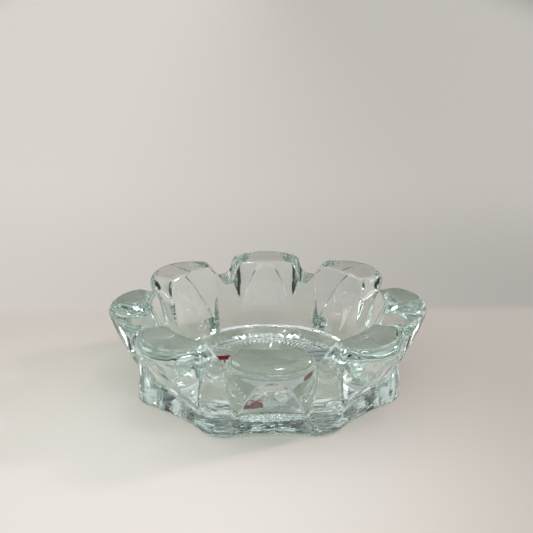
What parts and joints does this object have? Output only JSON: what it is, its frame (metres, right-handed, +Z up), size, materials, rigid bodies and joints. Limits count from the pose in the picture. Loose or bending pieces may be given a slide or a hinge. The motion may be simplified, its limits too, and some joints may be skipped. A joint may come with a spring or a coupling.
{
  "type": "glass candle holder",
  "caption": "Heavy pressed-glass dish with round-nosed petals, notches between them and a flat floor for a candle, with a paper label on the floor.",
  "frame": {"origin": "middle of the foot, on the table", "axes": "+Z up out of the dish; one petal points to -Y and one to +X"},
  "size_m": [0.13, 0.13, 0.034],
  "materials": {
    "pressed_glass": "clear pressed glass with a pale green tint, fire-polished smooth, slightly wavy",
    "label_paper": "thin printed paper, matt, white with a dark red panel and grey stripes"
  },
  "bodies": {
    "root": {"glass_dish": "pressed_glass", "paper_label": "label_paper"}
  },
  "joints": []
}
